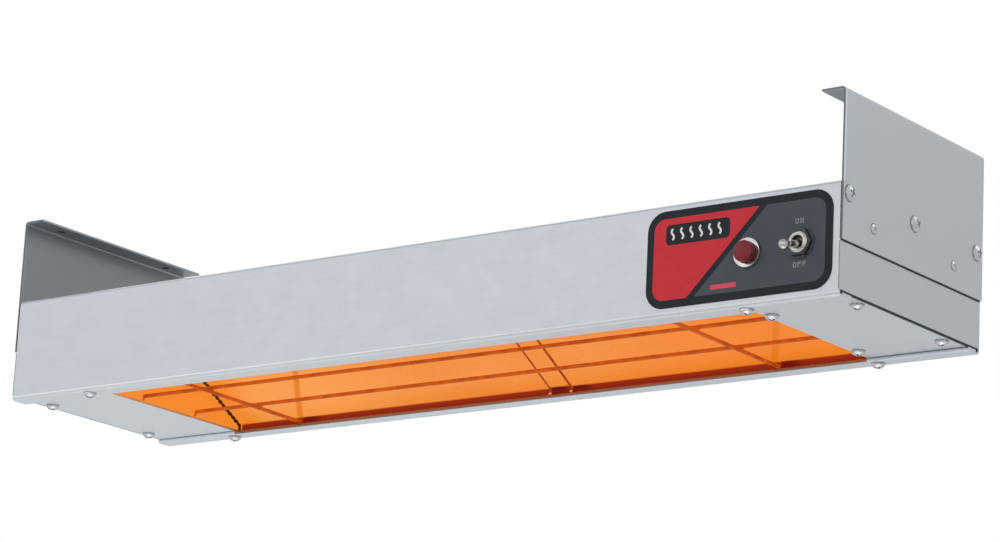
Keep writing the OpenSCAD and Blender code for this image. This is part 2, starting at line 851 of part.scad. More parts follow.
module terminal_block() {
    color([0.9, 0.88, 0.82]) in_row_frame() difference() {
        translate([block_x, block_y - block_size[1] / 2, block_z - block_size[2] / 2]) cube(block_size);
        translate([block_x - over, block_y, block_z]) rod_x(rivet_hole_r, block_size[0] + 2 * over);
        for (s = [-1, 1]) translate([pole_x, block_y + pole_dy * s, block_z]) {
            translate([0, 0, -block_size[2]]) cylinder(r = 1.9, h = 2 * block_size[2]);
            rod_x(block_screw_r + 0.1, block_size[0]);
        }
    }
}

// Clamp screws of the two poles
module clamp_screws() {
    clamp_l = 4.5;
    color(brass_c) in_row_frame() for (s = [-1, 1])
        translate([block_x + block_size[0], block_y + pole_dy * s, block_z]) rotate([0, -90, 0])
            pan_screw(block_screw_r, clamp_l, block_head);
}

module block_screw() {
    color(bright) in_row_frame() translate([block_x + block_size[0], block_y, block_z])
        rotate([0, -90, 0]) pan_screw(block_screw_r, block_size[0] + 5, block_head);
}

module ground_screw() {
    color([0.3, 0.6, 0.3]) in_row_frame() translate(ground_pos + [sheet, 0, 0])
        rotate([0, -90, 0]) pan_screw(screw_r, ground_screw_l, ground_head);
}

module ground_nut() {
    color(bright) in_row_frame() translate(ground_pos - [ground_nut_h, 0, 0])
        rotate([0, 90, 0]) nut(8.5, screw_hole_r, ground_nut_h);
}

// Flanged strain-relief bushing in the rear wall, with the hole that grips the supply cord
module cord_bushing() {
    bore_r = 4;
    flange_r = 10.2;
    color(dark) in_row_frame() difference() {
        union() {
            at_cord(-cord_in) rod_y(cord_hole_r - 0.1, cord_in + 1);
            at_cord(0) rod_y(flange_r, cord_flange);
        }
        at_cord(-cord_in - over) rod_y(bore_r, cord_in + cord_flange + 2 * over);
    }
}

// One lead from each end of the element: over the reflector to the terminal block, and to the switch
module element_leads() {
    tag_x = sheath_end + 6.1;
    tag_z = element_z + 4.2;
    run_y = mid_y + 12;
    pole_y = block_y - pole_dy;
    pole_z = block_z + block_size[2] / 2 + lead_gap;
    tab_y = blade_y + blade_l + 1.2;
    color([0.85, 0.85, 0.8]) in_row_frame() {
        lead([[-tag_x, mid_y, tag_z], [-tag_x, mid_y, 44], [16.1 - tag_x, mid_y + 4, high_z - 1],
            [-150, run_y, high_z], [60, run_y, high_z], [block_x - 14, pole_y - 2, high_z],
            [pole_x, pole_y, high_z - 3], [pole_x, pole_y, pole_z]]);
        lead([[tag_x, mid_y, tag_z], [tag_x, mid_y, 42], [switch_x - 4, 52, 42],
            [switch_x, 40, 34], [switch_x, tab_y, switch_z]]);
    }
}

// From the switch's fixed contact to the terminal block
module switch_lead() {
    pole_y = block_y + pole_dy;
    pole_z = block_z - block_size[2] / 2 - lead_gap;
    tab_y = blade_y + blade_l + 1.2;
    color([0.15, 0.15, 0.17]) in_row_frame()
        lead([[switch_x, tab_y, switch_z + contact_z[1]], [switch_x + 3, 46, 20],
            [switch_x + 3, 92, 16], [switch_x - 8, pole_y, 12], [pole_x, pole_y, 9],
            [pole_x, pole_y, pole_z]]);
}

// Both tails of the pilot lamp, out through the back of its body
module pilot_leads() {
    start_y = lamp_y + 14.4;
    color([0.6, 0.15, 0.15]) in_row_frame() for (s = [-1, 1]) at_pilot(0)
        lead([[0, start_y, tail_dz * s], [0, start_y + 12, tail_dz * s],
            [3 + s, start_y + 24, 4 * s], [8 + 4 * s, start_y + 38, 10 + 5 * s]]);
}

housing();
end_cap_left();
end_cap_right();
bracket_left();
bracket_right();
bracket_screws();
clinch_nuts();
bracket_rivets();
bottom_plate_left();
bottom_plate_right();
plate_screws();
flange_screws();
reflector();
reflector_end_left();
reflector_end_right();
element_sheath();
element_core();
element_terminals();
element_bushings();
terminal_nuts();
hanger_strap();
strap_rivet();
guard_long_wires();
guard_cross_wires();
control_label();
pilot_bezel();
pilot_lens();
pilot_body();
pilot_nut();
pilot_lamp();
switch_body();
switch_bushing();
switch_front_nut();
switch_ring();
switch_back_nut();
switch_lever();
lever_pin();
switch_rocker();
rocker_pin();
switch_contacts();
terminal_block();
clamp_screws();
block_screw();
ground_screw();
ground_nut();
cord_bushing();
element_leads();
switch_lead();
pilot_leads();
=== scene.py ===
# Looks of the strip heat lamp warmer. The CAD nodes are dressed in procedural materials and softened
# edges, and pieces built here add what the CAD model leaves out: the printed overlay with its ON and
# OFF marks, the turned toggle lever, the rim of its bushing, painted shade in the reflector's end seams
# and along the edges of the element's hanger strap with a painted highlight at its foot, weld beads on
# the guard, and painted shade in the gaps round screw heads and sheets.
# Sizes below are millimetres in the part's own directions: x right of the middle, y behind the front
# face and z above the lowest sheet face. at() turns them into the frame's metres.

import json
import math
import random

import bmesh
import bpy
from mathutils import Matrix, Vector


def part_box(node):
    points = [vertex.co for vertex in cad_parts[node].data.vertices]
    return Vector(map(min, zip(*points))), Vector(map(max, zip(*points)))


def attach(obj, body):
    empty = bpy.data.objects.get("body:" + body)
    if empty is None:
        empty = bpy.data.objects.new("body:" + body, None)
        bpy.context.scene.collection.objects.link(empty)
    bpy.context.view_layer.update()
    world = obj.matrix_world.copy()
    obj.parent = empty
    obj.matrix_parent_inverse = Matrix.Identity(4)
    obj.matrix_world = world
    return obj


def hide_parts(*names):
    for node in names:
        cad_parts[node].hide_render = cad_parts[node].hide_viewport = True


MM = 0.001
SHEET = 1.2                  # thickness of the sheet steel
FLANGE_FRONT = 13.5          # depth of the housing's two lower flanges
FLANGE_REAR = 12.8
PLATE_UNDER = 2.4            # height of the underside of the bottom plates
SEAM_X = 239.0               # where the reflector meets its end walls
SKIRT_IN = 7.0               # how far in from the housing's faces the reflector's skirts hang
KNEE = 7.2                   # height at which the skirts turn into the slopes
REFLECTOR_SLOPE = 29.84      # degrees
STRAP = 1.0                  # thickness of the element's hanger strap

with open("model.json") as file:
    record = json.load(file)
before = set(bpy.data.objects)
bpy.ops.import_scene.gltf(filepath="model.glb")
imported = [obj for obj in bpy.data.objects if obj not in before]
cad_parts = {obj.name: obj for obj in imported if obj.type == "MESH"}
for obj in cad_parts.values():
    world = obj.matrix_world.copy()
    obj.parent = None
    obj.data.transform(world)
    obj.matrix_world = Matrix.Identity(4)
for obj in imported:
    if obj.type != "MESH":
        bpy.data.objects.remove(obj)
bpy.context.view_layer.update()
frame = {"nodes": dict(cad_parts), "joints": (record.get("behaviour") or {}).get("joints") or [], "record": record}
body_low, body_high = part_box("housing")
bracket_low, bracket_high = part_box("bracket_right")
wires_low, wires_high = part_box("guard_cross_wires")
strap_low, strap_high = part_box("hanger_strap")
slots = {part["node"]: part["material_slot"] for part in frame["record"]["subparts"]}
shelf_bolts = next(mount["dims"] for mount in frame["record"]["mounts"] if mount["name"] == "shelf_bolts")

DEPTH = (body_high.y - body_low.y) / MM
ROOF = (body_high.z - body_low.z) / MM
BRACKET_X = bracket_high.x / MM                      # outer face of the brackets
BRACKET_FRONT = (bracket_low.y - body_low.y) / MM
BRACKET_FOOT = (bracket_low.z - body_low.z) / MM
SHELF_Z = (bracket_high.z - body_low.z) / MM         # underside of the shelf
CAP_X = BRACKET_X - SHEET                            # outer face of the end caps
WIRE = (wires_high.z - wires_low.z) / MM
# The cross wires lean together: the left one reaches out further than the right one
WIRE_LEAN = -(wires_low.x + wires_high.x) / MM
WIRE_X = wires_high.x / MM - WIRE / 2


def at(x, y, z):
    """The point x mm right of the middle, y mm behind the front face and z mm above the lowest face."""
    return Vector((x * MM, body_low.y + y * MM, body_low.z + z * MM))


# ---- materials -------------------------------------------------------------------------------


class Look:
    """A procedural material: one Principled shader, fed by textures laid out in the part's own space."""

    def __init__(self, name, color, metallic=0.0, roughness=0.5, specular=0.5):
        self.material = bpy.data.materials.new(name)
        self.material.use_nodes = True
        self.tree = self.material.node_tree
        self.shader = self.tree.nodes["Principled BSDF"]
        self.place = self.node("ShaderNodeTexCoord").outputs["Object"]
        self.normal = None
        self.colors = {"Base Color": (*color, 1.0)}
        self.set("Base Color", (*color, 1.0))
        self.set("Metallic", metallic)
        self.set("Roughness", roughness)
        self.set("Specular IOR Level", specular)
        self.material.diffuse_color = (*color, 1.0)

    def node(self, kind, **settings):
        made = self.tree.nodes.new(kind)
        for key, value in settings.items():
            setattr(made, key, value)
        return made

    def link(self, source, target):
        self.tree.links.new(source, target)

    def set(self, socket, value):
        self.shader.inputs[socket].default_value = value

    def glow(self, color, strength):
        self.colors["Emission Color"] = (*color, 1.0)
        self.set("Emission Color", (*color, 1.0))
        self.set("Emission Strength", strength)

    def noise(self, size, stretch=(1, 1, 1), detail=3.0, rough=0.5):
        """Noise with blotches about size mm across, stretched by that factor along each axis."""
        mapping = self.node("ShaderNodeMapping")
        mapping.inputs["Scale"].default_value = [1 / (size * MM * factor) for factor in stretch]
        self.link(self.place, mapping.inputs["Vector"])
        texture = self.node("ShaderNodeTexNoise")
        texture.inputs["Scale"].default_value = 1.0
        texture.inputs["Detail"].default_value = detail
        texture.inputs["Roughness"].default_value = rough
        self.link(mapping.outputs["Vector"], texture.inputs["Vector"])
        return texture.outputs["Fac"]

    def along(self, axis):
        """The coordinate along that axis, in the frame's metres."""
        split = self.node("ShaderNodeSeparateXYZ")
        self.link(self.place, split.inputs["Vector"])
        return split.outputs[axis]

    def toward(self, x, y, z):
        """How far along that direction, in the frame's metres."""
        dot = self.node("ShaderNodeVectorMath", operation="DOT_PRODUCT")
        dot.inputs[1].default_value = (x, y, z)
        self.link(self.place, dot.inputs[0])
        return dot.outputs["Value"]

    def math(self, kind, first, second=None):
        """A sum done on one or two values; second may be a plain number."""
        made = self.node("ShaderNodeMath", operation=kind)
        self.link(first, made.inputs[0])
        if isinstance(second, (int, float)):
            made.inputs[1].default_value = second
        elif second is not None:
            self.link(second, made.inputs[1])
        return made.outputs["Value"]

    def product(self, first, *others):
        """All the values multiplied together."""
        for other in others:
            first = self.math("MULTIPLY", first, other)
        return first

    def near(self, value, middle, reach):
        """1 where value is at middle, falling to 0 once it is reach away."""
        away = self.math("ABSOLUTE", self.math("SUBTRACT", value, middle))
        return self.spread(away, reach * 0.35, reach, 1.0, 0.0)

    def spread(self, value, start, end, low, high):
        """value mapped from start..end to low..high, and held there beyond the ends."""
        ranged = self.node("ShaderNodeMapRange", interpolation_type="SMOOTHSTEP")
        self.link(value, ranged.inputs["Value"])
        for name, number in (("From Min", start), ("From Max", end), ("To Min", low), ("To Max", high)):
            ranged.inputs[name].default_value = number
        return ranged.outputs["Result"]

    def ramp(self, axis, start, end, low=0.0, high=1.0):
        """low at start and high at end, in mm as at() counts them; axis "out" is x to either side."""
        value = self.math("ABSOLUTE", self.along("X")) if axis == "out" else self.along(axis)
        zero = {"Y": body_low.y, "Z": body_low.z}.get(axis, 0.0)
        return self.spread(value, zero + start * MM, zero + end * MM, low, high)

    def tint(self, value, color, amount=1.0, start=0.35, end=0.65, socket="Base Color"):
        """Mixes color in where value is high."""
        # The mix node's colour sockets are 6 and 7, and its colour output is 2
        mix = self.node("ShaderNodeMix", data_type="RGBA")
        self.link(self.spread(value, start, end, 0.0, amount), mix.inputs["Factor"])
        below = self.colors[socket]
        if isinstance(below, tuple):
            mix.inputs[6].default_value = below
        else:
            self.link(below, mix.inputs[6])
        mix.inputs[7].default_value = (*color, 1.0)
        self.colors[socket] = mix.outputs[2]
        self.link(mix.outputs[2], self.shader.inputs[socket])

    def paint(self, mask, color, amount=1.0, socket="Base Color"):
        """Mixes color in where a mask of 0 to 1 is high."""
        self.tint(mask, color, amount, 0.0, 1.0, socket)

    def gloss(self, value, low, high):
        """Roughness from low to high as value rises."""
        self.link(self.spread(value, 0.3, 0.7, low, high), self.shader.inputs["Roughness"])

    def bump(self, value, height):
        """Relief of height mm, added to what is there."""
        bump = self.node("ShaderNodeBump")
        bump.inputs["Strength"].default_value = 1.0
        bump.inputs["Distance"].default_value = height * MM
        self.link(value, bump.inputs["Height"])
        if self.normal:
            self.link(self.normal, bump.inputs["Normal"])
        self.normal = bump.outputs["Normal"]
        self.link(self.normal, self.shader.inputs["Normal"])


def sheet_steel(name="satin_sheet_steel"):
    """Satin sheet with a fine grain along x."""
    look = Look(name, (0.56, 0.60, 0.64), metallic=0.82, roughness=0.4)
    grain = look.noise(0.35, stretch=(60, 1, 1), detail=2.0)
    long_grain = look.noise(1.2, stretch=(120, 1, 1), detail=2.0)
    cloud = look.noise(70, stretch=(2, 1, 1), detail=4.0, rough=0.6)
    smudge = look.noise(9, stretch=(1.6, 1, 1), detail=5.0, rough=0.65)
    look.tint(cloud, (0.54, 0.582, 0.625), 0.3)
    look.tint(smudge, (0.60, 0.637, 0.677), 0.15, 0.5, 0.75)
    look.tint(grain, (0.49, 0.52, 0.56), 0.22)
    look.tint(long_grain, (0.63, 0.665, 0.705), 0.16)
    # The plates and hems underneath are painted lighter, more so to the left: painted light on the undersides
    lit_underside = look.ramp("Z", PLATE_UNDER + 0.4, PLATE_UNDER + 0.02)
    lit_more_to_left = look.ramp("X", -280, 280, 1.0, 0.5)
    look.paint(look.product(lit_underside, lit_more_to_left), (0.78, 0.83, 0.88))
    # The edges of the lower flanges that face the reflector are painted dark
    for flange_y in (FLANGE_FRONT, DEPTH - FLANGE_REAR):
        lip = look.near(look.along("Y"), at(0, flange_y, 0).y, 0.7 * MM)
        low_lip = look.ramp("Z", 3.8, 3.0)
        over_mouth = look.ramp("out", SEAM_X - 0.5, SEAM_X, 1.0, 0.0)
        look.paint(look.product(lip, low_lip, over_mouth), (0.22, 0.15, 0.14), 0.9)
    # The bend along the top of the front catches the light
    front = look.ramp("Y", 1.0, 2.0, 1.0, 0.0)
    bend = look.ramp("Z", ROOF - 1.3, ROOF - 0.6)
    look.paint(look.product(front, bend), (0.95, 0.97, 1.0))
    # The sheets at both ends, caps and brackets, are painted a little brighter: painted light
    look.paint(look.ramp("out", CAP_X - 1.3, CAP_X - 1.0), (0.66, 0.70, 0.74), 0.35)
    look.gloss(smudge, 0.38, 0.45)
    look.bump(grain, 0.004)
    look.bump(smudge, 0.003)
    return look


def bracket_steel():
    """The housing's steel, with painted shade on the brackets' inner faces."""
    look = sheet_steel("bracket_steel")
    # Painted shade on the brackets' inner faces, lighter on the top flanges under the shelf
    web_middle = BRACKET_X - SHEET / 2
    inner_face_shade = look.ramp("out", web_middle - 0.2, web_middle + 0.2, 1.0, 0.0)
    less_shade_on_flange = look.ramp("Z", SHELF_Z - 2.6, SHELF_Z - 1.3, 1.0, 0.55)
    look.paint(look.product(inner_face_shade, less_shade_on_flange), (0.215, 0.232, 0.240), 0.82)
    # The brackets' front edges are painted dark
    edge = look.ramp("Y", BRACKET_FRONT + 0.05, BRACKET_FRONT + 0.3, 1.0, 0.0)
    look.paint(edge, (0.10, 0.105, 0.11), 0.85)
    # The walls of the shelf holes are in shadow; the frame's origin is midway between the holes
    hole_x, hole_y = (shelf_bolts[key] / 2 * MM for key in ("spacing_x_mm", "spacing_y_mm"))
    across = look.math("SUBTRACT", look.math("ABSOLUTE", look.along("X")), hole_x)
    deep = look.math("SUBTRACT", look.math("ABSOLUTE", look.along("Y")), hole_y)
    far = look.math("SQRT", look.math("ADD", look.product(across, across), look.product(deep, deep)))
    hole_r = shelf_bolts["hole_r_mm"]
    wall = look.spread(far, (hole_r + 0.15) * MM, (hole_r + 0.3) * MM, 1.0, 0.0)
    look.paint(wall, (0.03, 0.032, 0.034))
    return look


def bright_fastener():
    look = Look("bright_zinc", (0.70, 0.72, 0.74), metallic=1.0, roughness=0.25)
    haze = look.noise(1.1, detail=4.0, rough=0.6)
    look.tint(haze, (0.42, 0.44, 0.46), 0.5)
    look.gloss(haze, 0.18, 0.34)
    look.bump(look.noise(0.5, detail=3.0), 0.01)
    return look


def chrome():
    look = Look("polished_chrome", (0.60, 0.585, 0.56), metallic=1.0, roughness=0.22)
    film = look.noise(2.2, detail=3.0)
    look.tint(film, (0.40, 0.39, 0.37), 0.6)
    look.gloss(film, 0.08, 0.2)
    look.bump(look.noise(0.6, detail=2.0), 0.002)
    return look


def blackened_steel():
    look = Look("black_oxide_steel", (0.045, 0.048, 0.055), metallic=0.7, roughness=0.4)
    patch = look.noise(1.4, detail=4.0)
    look.tint(patch, (0.12, 0.125, 0.135), 0.5)
    look.gloss(patch, 0.32, 0.5)
    look.bump(look.noise(0.4, detail=3.0), 0.008)
    return look


# Where the wires and the strap's edges stand on the rear skirt, and the middles of the shade bands
SKIRT_SHADOWS = (-WIRE_X - WIRE_LEAN + WIRE / 2, strap_low.x / MM, strap_high.x / MM,
                 WIRE_X - WIRE_LEAN + WIRE / 2)
SHADE_BANDS = (-143.0, 217.5)
SHADE_SLANT = 0.66           # how far the bands run to the left for each mm to the rear


def hot_reflector():
    """Pebbled aluminium with the element's light painted in as glow: paler in the middle, with painted shade deep
    red down the rear skirt.
    """
    look = Look("hot_reflector", (0.16, 0.055, 0.014), metallic=0.3, roughness=0.42, specular=0.25)
    look.glow((0.90, 0.262, 0.034), 0.86)
    pebble = look.noise(0.9, detail=3.0, rough=0.6)
    grit = look.noise(2.6, stretch=(1.5, 1, 1), detail=2.0)
    patch = look.noise(16, stretch=(2.5, 1, 1), detail=3.0)
    look.tint(patch, (0.82, 0.21, 0.022), 0.45, socket="Emission Color")
    look.tint(pebble, (0.98, 0.36, 0.085), 0.35, socket="Emission Color")
    look.tint(grit, (0.80, 0.25, 0.05), 0.4, 0.45, 0.7, socket="Emission Color")
    # The painted glow is palest left of the middle, deeper to the right and towards both ends
    along = look.along("X")
    look.tint(along, (0.98, 0.38, 0.085), 0.6, -50 * MM, -170 * MM, socket="Emission Color")
    look.tint(along, (0.88, 0.222, 0.014), 0.8, 20 * MM, 170 * MM, socket="Emission Color")
    out = look.math("ABSOLUTE", along)
    look.tint(out, (0.88, 0.235, 0.014), 0.75, 205 * MM, 232 * MM, socket="Emission Color")
    # Faint darker bands up the slopes, where the guard's cross wires shade them
    for middle in SHADE_BANDS:
        band = look.near(look.toward(1, SHADE_SLANT, 0), middle * MM, 3.4 * MM)
        look.paint(band, (0.84, 0.215, 0.010), 0.9, socket="Emission Color")
        look.paint(band, (0.05, 0.015, 0.004), 0.8)
    # Painted shade down the rear skirt, out of the element's direct light: deep red, darker further down
    low = look.ramp("Z", KNEE + 1.0, KNEE - 0.3)
    rear = look.spread(look.along("Y"), 0.0, 20 * MM, 0.0, 1.0)
    skirt = look.product(low, rear, look.ramp("out", SEAM_X - 2.4, SEAM_X - 0.8, 1.0, 0.0))
    look.paint(skirt, (0.30, 0.016, 0.003), socket="Emission Color")
    deep = look.ramp("Z", KNEE - 0.3, KNEE - 3.0)
    look.paint(look.product(skirt, deep), (0.21, 0.012, 0.006), socket="Emission Color")
    look.paint(skirt, (0.05, 0.006, 0.003))
    # Painted shadow, deepest just to the right of whatever stands on the skirt: wires and the strap's two edges
    for start in SKIRT_SHADOWS:
        shadow = look.product(skirt, look.ramp("X", start, start + 1.2),
                              look.ramp("X", start + 5.0, start + 22.0, 1.0, 0.0))
        look.paint(shadow, (0.115, 0.0015, 0.0012), socket="Emission Color")
    look.gloss(patch, 0.32, 0.48)
    look.bump(pebble, 0.05)
    return look


def seam_gap_shade():
    """Painted shade in the gap where the reflector meets an end wall: a dark, faintly glowing strip."""
    look = Look("seam_gap_shade", (0.018, 0.006, 0.003), roughness=0.75, specular=0.15)
    look.glow((0.075, 0.012, 0.003), 0.5)
    crumbs = look.noise(1.2, detail=4.0)
    look.tint(crumbs, (0.09, 0.02, 0.006), 0.6)
    look.tint(crumbs, (0.16, 0.03, 0.005), 0.5, 0.5, 0.8, socket="Emission Color")
    look.gloss(crumbs, 0.6, 0.9)
    look.bump(crumbs, 0.08)
    return look


def strap_edge():
    """Painted shade along the hanger strap's edges: darker and less aglow than its face."""
    look = Look("strap_edge_painted_shade", (0.05, 0.012, 0.004), roughness=0.7, specular=0.15)
    look.glow((0.46, 0.060, 0.006), 0.75)
    scale = look.noise(2.0, detail=3.0)
    look.tint(scale, (0.26, 0.022, 0.003), 0.7, socket="Emission Color")
    look.tint(scale, (0.09, 0.02, 0.008), 0.5)
    look.gloss(scale, 0.6, 0.85)
    look.bump(scale, 0.04)
    return look


def foot_glint():
    """The turned corners of the strap's foot, which catch the element's light."""
    look = Look("strap_foot_glint", (0.30, 0.12, 0.06), metallic=0.4, roughness=0.4, specular=0.2)
    look.glow((0.92, 0.27, 0.14), 0.75)
    scale = look.noise(1.5, detail=3.0)
    look.tint(scale, (0.80, 0.14, 0.05), 0.6, socket="Emission Color")
    look.gloss(scale, 0.35, 0.5)
    look.bump(scale, 0.03)
    return look


def painted_gap_shade():
    """Painted shade for the gaps round fasteners' heads and between sheets: a dark filmy strip."""
    look = Look("painted_gap_shade", (0.030, 0.032, 0.034), roughness=0.7, specular=0.2)
    film = look.noise(1.0, detail=4.0)
    look.tint(film, (0.085, 0.09, 0.095), 0.6)
    look.gloss(film, 0.55, 0.85)
    look.bump(film, 0.03)
    return look


def hot_sheath():
    """The element's sheath: glowing, but dark where its ends leave the reflector."""
    look = Look("hot_sheath", (0.25, 0.08, 0.03), metallic=0.4, roughness=0.55)
    look.glow((1.0, 0.30, 0.06), 2.4)
    scale = look.noise(5, stretch=(2, 1, 1), detail=4.0)
    look.tint(scale, (1.0, 0.46, 0.14), 0.6, socket="Emission Color")
    out = look.math("ABSOLUTE", look.along("X"))
    look.tint(out, (0.08, 0.01, 0.004), 1.0, 236 * MM, 256 * MM, socket="Emission Color")
    look.gloss(scale, 0.45, 0.65)
    look.bump(look.noise(0.7, detail=3.0), 0.03)
    return look


def guard_wire():
    """Drawn wire, darker in patches, with the element's red light painted in as glow."""
    look = Look("hot_guard_wire", (0.30, 0.085, 0.012), metallic=0.55, roughness=0.5, specular=0.1)
    look.glow((0.58, 0.088, 0.005), 0.66)
    draw = look.noise(1.4, stretch=(12, 1, 1), detail=3.0)
    look.tint(draw, (0.16, 0.05, 0.018), 0.6)
    look.tint(look.noise(11, detail=2.0), (0.30, 0.03, 0.003), 0.7, socket="Emission Color")
    look.gloss(draw, 0.45, 0.65)
    look.bump(draw, 0.01)
    return look


def plastic(name, color, speckle, roughness, specular=0.35, grain=0.5):
    look = Look(name, color, roughness=roughness, specular=specular)
    mottle = look.noise(6, detail=4.0)
    look.tint(mottle, speckle, 0.35)
    look.gloss(mottle, roughness - 0.06, roughness + 0.08)
    look.bump(look.noise(grain, detail=2.0), 0.01)
    return look


def print_ink(name, color, worn):
    """Ink of the overlay: satin, with the fine pebble of its film."""
    return plastic(name, color, worn, roughness=0.42, specular=0.22, grain=0.7)


def red_lens():
    """Deep red acrylic: the front face a little lighter than the barrel behind it."""
    look = Look("red_lens", (0.085, 0.004, 0.008), roughness=0.3, specular=0.28)
    look.glow((0.10, 0.006, 0.009), 0.12)
    lens_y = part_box("pilot_lens")[0].y
    # The front face is painted lighter than the barrel: painted shade on the barrel's side wall
    face = look.spread(look.along("Y"), lens_y + 1.3 * MM, lens_y + 0.7 * MM, 0.0, 1.0)
    cast = look.noise(3.5, detail=2.0)
    look.paint(face, (0.20, 0.014, 0.022))
    look.tint(cast, (0.12, 0.006, 0.012), 0.4)
    look.gloss(cast, 0.22, 0.36)
    look.bump(look.noise(0.8, detail=2.0), 0.015)
    return look


def ceramic(name="steatite", color=(0.80, 0.77, 0.70)):
    look = Look(name, color, roughness=0.62, specular=0.3)
    pits = look.noise(0.5, detail=4.0, rough=0.7)
    look.tint(pits, (0.62, 0.58, 0.50), 0.4)
    look.tint(look.noise(7, detail=3.0), (0.72, 0.66, 0.56), 0.5)
    look.gloss(pits, 0.5, 0.75)
    look.bump(pits, 0.03)
    return look


def brass():
    look = Look("terminal_brass", (0.72, 0.52, 0.22), metallic=1.0, roughness=0.32)
    tarnish = look.noise(2.6, detail=4.0)
    look.tint(tarnish, (0.42, 0.29, 0.12), 0.6)
    look.gloss(tarnish, 0.24, 0.45)
    look.bump(look.noise(0.5, detail=3.0), 0.01)
    return look


def lamp_glass():
    look = Look("lamp_glass", (0.9, 0.45, 0.2), roughness=0.1, specular=0.6)
    look.glow((1.0, 0.28, 0.06), 0.6)
    swirl = look.noise(1.6, detail=2.0)
    look.tint(swirl, (0.95, 0.62, 0.35), 0.6)
    look.gloss(swirl, 0.06, 0.16)
    return look


def green_dye():
    look = Look("green_dyed_steel", (0.06, 0.24, 0.09), metallic=0.75, roughness=0.32)
    wear = look.noise(1.2, detail=4.0)
    look.tint(wear, (0.32, 0.40, 0.30), 0.5)
    look.gloss(wear, 0.24, 0.45)
    look.bump(wear, 0.008)
    return look


LOOKS = {
    "sheet_steel": sheet_steel(),
    "bright_fastener": bright_fastener(),
    "guard_wire": guard_wire(),
    "hot_reflector": hot_reflector(),
    "hot_sheath": hot_sheath(),
    "mineral_core": ceramic("mineral_core", (0.84, 0.82, 0.76)),
    "ceramic": ceramic(),
    "terminal_brass": brass(),
    "control_label": print_ink("label_black", (0.007, 0.011, 0.016), (0.013, 0.018, 0.024)),
    "chrome": chrome(),
    "red_lens": red_lens(),
    "black_plastic": plastic("black_plastic", (0.022, 0.023, 0.026), (0.045, 0.046, 0.05), 0.45),
    "lamp_glass": lamp_glass(),
    "blackened_steel": blackened_steel(),
    "lead_white": plastic("lead_white", (0.72, 0.71, 0.66), (0.60, 0.57, 0.50), 0.6),
    "lead_black": plastic("lead_black", (0.02, 0.02, 0.024), (0.05, 0.05, 0.055), 0.5),
    "lead_red": plastic("lead_red", (0.42, 0.04, 0.035), (0.30, 0.025, 0.02), 0.5),
    "ground_green": green_dye(),
}
INK_RED = print_ink("ink_red", (0.60, 0.022, 0.034), (0.66, 0.035, 0.048))
INK_GREY = print_ink("ink_grey", (0.058, 0.072, 0.086), (0.072, 0.088, 0.104))
INK_BAR = print_ink("ink_bar", (0.70, 0.055, 0.095), (0.78, 0.14, 0.19))
INK_WHITE = print_ink("ink_white", (0.80, 0.80, 0.80), (0.68, 0.68, 0.68))
INK_PALE = print_ink("ink_pale_grey", (0.25, 0.26, 0.28), (0.18, 0.19, 0.21))

BRACKET_STEEL = bracket_steel()
SEAM = seam_gap_shade()
STRAP_EDGE = strap_edge()
FOOT_GLINT = foot_glint()
GAP_SHADE = painted_gap_shade()

# Radius in mm of the softened edges of each finish; the finishes left out keep their edges
EDGES = {
    "sheet_steel": 0.22, "bright_fastener": 0.16, "hot_reflector": 0.2, "ceramic": 0.3,
    "terminal_brass": 0.12, "chrome": 0.2, "black_plastic": 0.3, "blackened_steel": 0.22,
    "control_label": 0.12, "ground_green": 0.16, "red_lens": 0.25,
}
EDGE_ANGLE = math.radians(32)     # edges sharper than this are rounded
FLAT_ANGLE = math.radians(0.3)    # faces closer to flat than this are joined
WELD = 1e-6                       # metres within which corners count as one


def soften(piece, radius):
    """Joins the mesh's split corners and rounds its sharp edges by radius mm."""
    weld = piece.modifiers.new("weld", "WELD")
    weld.merge_threshold = WELD
    flat = piece.modifiers.new("flat_faces", "DECIMATE")
    flat.decimate_type = "DISSOLVE"
    flat.angle_limit = FLAT_ANGLE
    bevel = piece.modifiers.new("soft_edges", "BEVEL")
    bevel.width = radius * MM
    bevel.segments = 2
    bevel.limit_method = "ANGLE"
    bevel.angle_limit = EDGE_ANGLE
    bevel.use_clamp_overlap = True
    piece.modifiers.new("normals", "WEIGHTED_NORMAL").keep_sharp = True


def dress(piece, look):
    piece.data.materials.clear()
    piece.data.materials.append(look.material)


for node_name, node_object in frame["nodes"].items():
    node_slot = slots[node_name]
    is_bracket = node_name in ("bracket_left", "bracket_right")
    dress(node_object, BRACKET_STEEL if is_bracket else LOOKS[node_slot])
    if node_slot in EDGES:
        soften(node_object, EDGES[node_slot])


# ---- mesh helpers ----------------------------------------------------------------------------


def finish_mesh(name, mesh, look, slot, body="root", replaces=()):
    """Turns a bmesh into a piece that rides on a body."""
    bmesh.ops.recalc_face_normals(mesh, faces=mesh.faces)
    data = bpy.data.meshes.new(name)
    mesh.to_mesh(data)
    mesh.free()
    piece = bpy.data.objects.new(name, data)
    bpy.context.scene.collection.objects.link(piece)
    dress(piece, look)
    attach(piece, body)
    if replaces:
        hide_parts(*replaces)


def smooth_by_angle(mesh, limit=35):
    """Shades every face smooth, apart from across edges sharper than limit degrees."""
    for face in mesh.faces:
        face.smooth = True
    for edge in mesh.edges:
        if len(edge.link_faces) == 2:
            edge.smooth = edge.calc_face_angle(0.0) < math.radians(limit)


